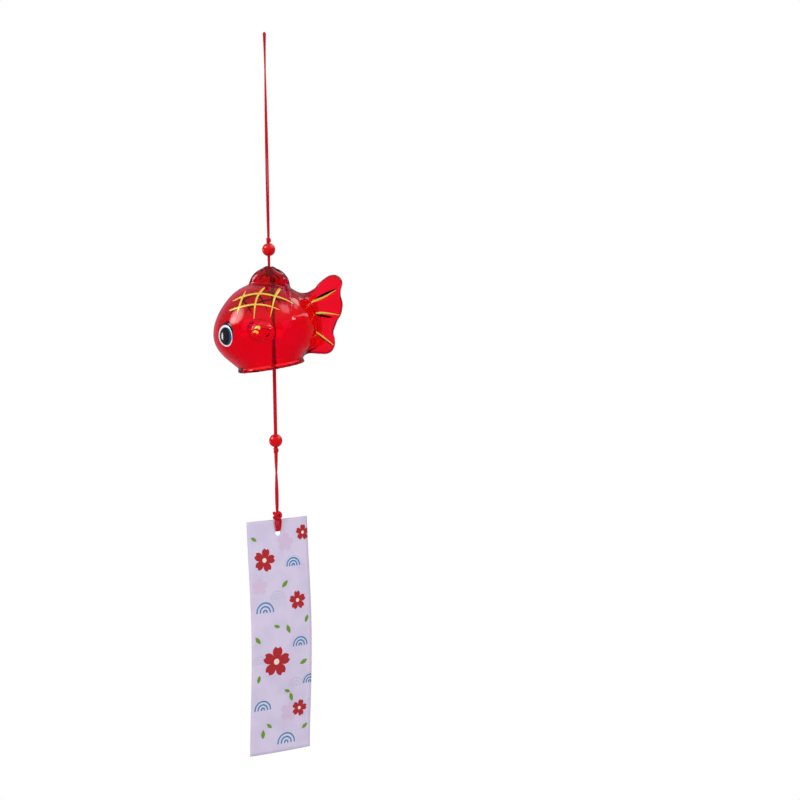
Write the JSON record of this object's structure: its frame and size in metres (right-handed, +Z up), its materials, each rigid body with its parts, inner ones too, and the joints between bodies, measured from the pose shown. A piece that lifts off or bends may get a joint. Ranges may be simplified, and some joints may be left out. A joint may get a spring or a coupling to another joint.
{
  "type": "wind bell",
  "caption": "Red glass goldfish wind bell on a knotted cord, with beads, a clapper inside its mouth and a paper strip that catches the wind.",
  "frame": {"origin": "where a hook bears on the inside of the hanging loop, at the top of the cord", "axes": "+Z up along the hanging cord, +X towards the fish's tail, -Y towards the viewer of the fish's left side"},
  "size_m": [0.0648, 0.0538, 0.3619],
  "materials": {
    "red_glass": "clear red blown glass with painted gold lines and eyes",
    "red_bead": "glossy translucent red",
    "clear_glass": "clear, fire-polished ends",
    "red_cord": "soft twisted cord",
    "strip_paper": "matt printed card"
  },
  "bodies": {
    "hook_end": {"hanging_loop": "red_cord"},
    "hanging_line": {"hanging_cord": "red_cord", "upper_knot": "red_cord", "upper_bead": "red_bead"},
    "neck": {"neck_cord": "red_cord"},
    "stopper": {"stopper_knot": "red_cord"},
    "bell": {"fish_bell": "red_glass"},
    "clapper_tie": {"clapper_knot": "red_cord"},
    "clapper_line": {"clapper_cord": "red_cord", "clapper_tube": "clear_glass", "lower_bead": "red_bead", "lower_knot": "red_cord"},
    "strip_line": {"strip_cord": "red_cord"},
    "strip": {"strip_knot": "red_cord", "strip_loop": "red_cord", "paper_strip": "strip_paper"}
  },
  "joints": [
    {"name": "hang_swing", "type": "hinge", "parent": "hook_end", "child": "hanging_line", "pos_m": [0, 0, -0.0004], "axis": [0, 1, 0], "range_deg": [-25, 25]},
    {"name": "cord_twist", "type": "hinge", "parent": "hanging_line", "child": "neck", "pos_m": [0, 0, -0.1094], "axis": [0, 0, 1], "continuous": true},
    {"name": "bell_roll", "type": "hinge", "parent": "neck", "child": "stopper", "pos_m": [0, 0, -0.11778], "axis": [1, 0, 0], "range_deg": [-7, 7]},
    {"name": "bell_pitch", "type": "hinge", "parent": "stopper", "child": "bell", "pos_m": [0, 0, -0.11778], "axis": [0, 1, 0], "range_deg": [-7, 7]},
    {"name": "clapper_turn", "type": "hinge", "parent": "bell", "child": "clapper_tie", "pos_m": [0.0016, 0, -0.12145], "axis": [0, 0, 1], "continuous": true},
    {"name": "clapper_swing", "type": "hinge", "parent": "clapper_tie", "child": "clapper_line", "pos_m": [0.0016, 0, -0.12145], "axis": [0, 1, 0], "range_deg": [-13, 13]},
    {"name": "strip_turn", "type": "hinge", "parent": "clapper_line", "child": "strip_line", "pos_m": [0.0016, 0, -0.20665], "axis": [0, 0, 1], "continuous": true},
    {"name": "strip_flap", "type": "hinge", "parent": "strip_line", "child": "strip", "pos_m": [0.0016, 0, -0.2396], "axis": [0.8957, 0.4446, 0], "range_deg": [-70, 70]}
  ]
}
